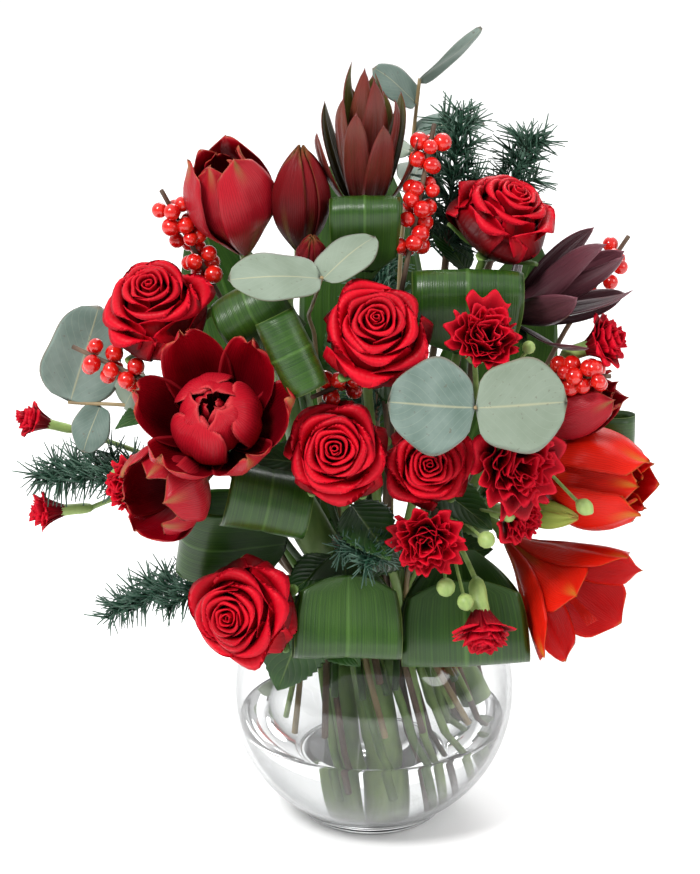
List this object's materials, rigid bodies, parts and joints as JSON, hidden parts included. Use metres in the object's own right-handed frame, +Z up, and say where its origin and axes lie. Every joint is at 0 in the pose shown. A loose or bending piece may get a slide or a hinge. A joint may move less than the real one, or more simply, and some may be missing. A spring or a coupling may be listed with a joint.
{
  "type": "amaryllis bouquet in a glass vase",
  "caption": "Red winter bouquet with amaryllis, roses, berries, folded leaves and fir, standing in a clear bubble bowl of water.",
  "frame": {"origin": "middle of the bowl's flat base, on the surface it stands on", "axes": "+Z up along the bowl's axis, -Y the front of the bouquet, +X to the right seen from the front"},
  "size_m": [0.3627, 0.2678, 0.4764],
  "materials": {
    "clear_glass": "clear, smooth, colourless blown glass",
    "water": "clear still water",
    "rose_petal": "velvety crimson petals",
    "green_stem": "smooth mid-green stems",
    "amaryllis_scarlet": "waxy orange-scarlet petals with yellow-green midribs",
    "amaryllis_wine": "waxy wine-red petals with coral outer sides",
    "leucadendron_bract": "smooth maroon and purple-brown bracts",
    "aspidistra_leaf": "glossy deep green leaf with fine parallel veins",
    "ilex_berry": "glossy orange-red berries on brown twigs",
    "fir_needle": "dark green needles, pale underneath",
    "eucalyptus_leaf": "waxy grey-green leaves",
    "carnation_petal": "ruffled crimson petals with green calyxes"
  },
  "bodies": {
    "root": {"amaryllis_dark_bloom_dark": "amaryllis_wine", "amaryllis_dark_stem": "green_stem", "amaryllis_left_bloom_lower": "amaryllis_wine", "amaryllis_left_bloom_main": "amaryllis_wine", "amaryllis_left_stem": "green_stem", "amaryllis_right_bloom_lower": "amaryllis_scarlet", "amaryllis_right_bloom_upper": "amaryllis_scarlet", "amaryllis_right_bud_green": "amaryllis_scarlet", "amaryllis_right_stem": "green_stem", "amaryllis_top_bloom_half_open": "amaryllis_wine", "amaryllis_top_bud_large": "amaryllis_wine", "amaryllis_top_bud_small": "amaryllis_wine", "amaryllis_top_stem": "green_stem", "carnation_centre": "carnation_petal", "carnation_left": "carnation_petal", "carnation_right": "carnation_petal", "eucalyptus_centre": "eucalyptus_leaf", "eucalyptus_left": "eucalyptus_leaf", "eucalyptus_pair": "eucalyptus_leaf", "eucalyptus_top": "eucalyptus_leaf", "fir_back": "fir_needle", "fir_bottom": "fir_needle", "fir_left": "fir_needle", "fir_low_left": "fir_needle", "fir_top": "fir_needle", "fir_top_right": "fir_needle", "glass_bowl": "clear_glass", "ilex_centre": "ilex_berry", "ilex_left_long": "ilex_berry", "ilex_left_low": "ilex_berry", "ilex_middle": "ilex_berry", "ilex_right": "ilex_berry", "ilex_right_top": "ilex_berry", "leaf_back_centre": "aspidistra_leaf", "leaf_back_left": "aspidistra_leaf", "leaf_back_right": "aspidistra_leaf", "leaf_dark_left": "aspidistra_leaf", "leaf_fold_bottom": "aspidistra_leaf", "leaf_fold_bottom_right": "aspidistra_leaf", "leaf_fold_right": "aspidistra_leaf", "leaf_fold_top": "aspidistra_leaf", "leaf_fold_upper_right": "aspidistra_leaf", "leaf_loop_left": "aspidistra_leaf", "leaf_roll_centre": "aspidistra_leaf", "leaf_roll_upper_left": "aspidistra_leaf", "leucadendron_right": "leucadendron_bract", "leucadendron_top": "leucadendron_bract", "rose_bottom_bloom": "rose_petal", "rose_bottom_stem": "green_stem", "rose_left_bloom": "rose_petal", "rose_left_stem": "green_stem", "rose_low_bloom": "rose_petal", "rose_low_stem": "green_stem", "rose_middle_bloom": "rose_petal", "rose_middle_stem": "green_stem", "rose_right_bloom": "rose_petal", "rose_right_stem": "green_stem", "rose_top_bloom": "rose_petal", "rose_top_stem": "green_stem", "water": "water"}
  },
  "joints": []
}
